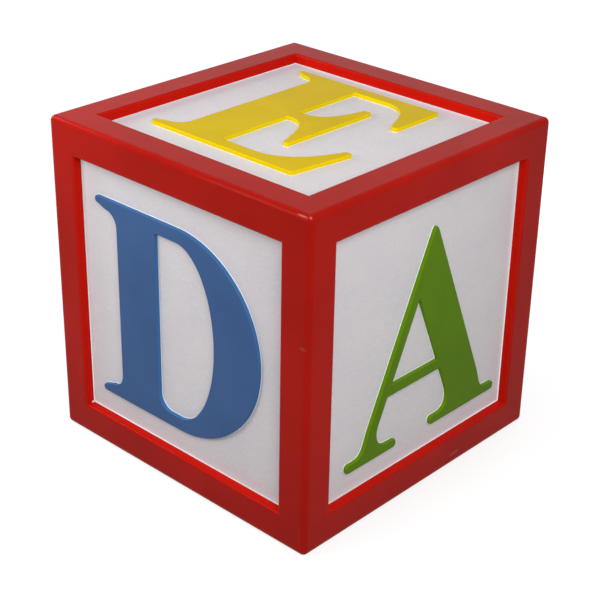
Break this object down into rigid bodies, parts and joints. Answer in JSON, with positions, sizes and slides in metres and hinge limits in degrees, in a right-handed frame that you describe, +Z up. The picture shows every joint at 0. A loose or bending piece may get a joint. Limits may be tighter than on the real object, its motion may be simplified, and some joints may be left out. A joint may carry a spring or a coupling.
{
  "type": "alphabet block",
  "caption": "Large hollow wooden alphabet block: red frame of posts and rails, recessed white panels and a raised coloured letter on each face.",
  "frame": {"origin": "centre of the block's underside, in the plane that it rests on", "axes": "+Z up out of the face with the E, -Y out of the face with the D, +X out of the face with the A"},
  "size_m": [0.61, 0.61, 0.61],
  "materials": {
    "frame_paint": "red gloss enamel over timber",
    "panel_paint": "white eggshell paint with a fine roller stipple",
    "blue_paint": "blue gloss enamel",
    "green_paint": "green gloss enamel",
    "yellow_paint": "yellow gloss enamel",
    "bare_wood": "planed bare timber",
    "screw_steel": "zinc plated"
  },
  "bodies": {
    "root": {"front_left_post": "frame_paint", "front_right_post": "frame_paint", "back_right_post": "frame_paint", "back_left_post": "frame_paint", "front_bottom_rail": "frame_paint", "right_bottom_rail": "frame_paint", "back_bottom_rail": "frame_paint", "left_bottom_rail": "frame_paint", "front_top_rail": "frame_paint", "right_top_rail": "frame_paint", "back_top_rail": "frame_paint", "left_top_rail": "frame_paint", "front_panel": "panel_paint", "right_panel": "panel_paint", "back_panel": "panel_paint", "left_panel": "panel_paint", "top_panel": "panel_paint", "bottom_panel": "panel_paint", "letter_d": "blue_paint", "letter_a": "green_paint", "letter_b": "yellow_paint", "letter_c": "green_paint", "letter_e": "yellow_paint", "letter_f": "blue_paint", "letter_screws": "screw_steel", "front_left_bottom_block": "bare_wood", "front_right_bottom_block": "bare_wood", "back_right_bottom_block": "bare_wood", "back_left_bottom_block": "bare_wood", "front_left_top_block": "bare_wood", "front_right_top_block": "bare_wood", "back_right_top_block": "bare_wood", "back_left_top_block": "bare_wood", "glue_block_screws": "screw_steel", "front_frame_dowels": "bare_wood", "back_frame_dowels": "bare_wood", "cross_rail_dowels": "bare_wood"}
  },
  "joints": []
}
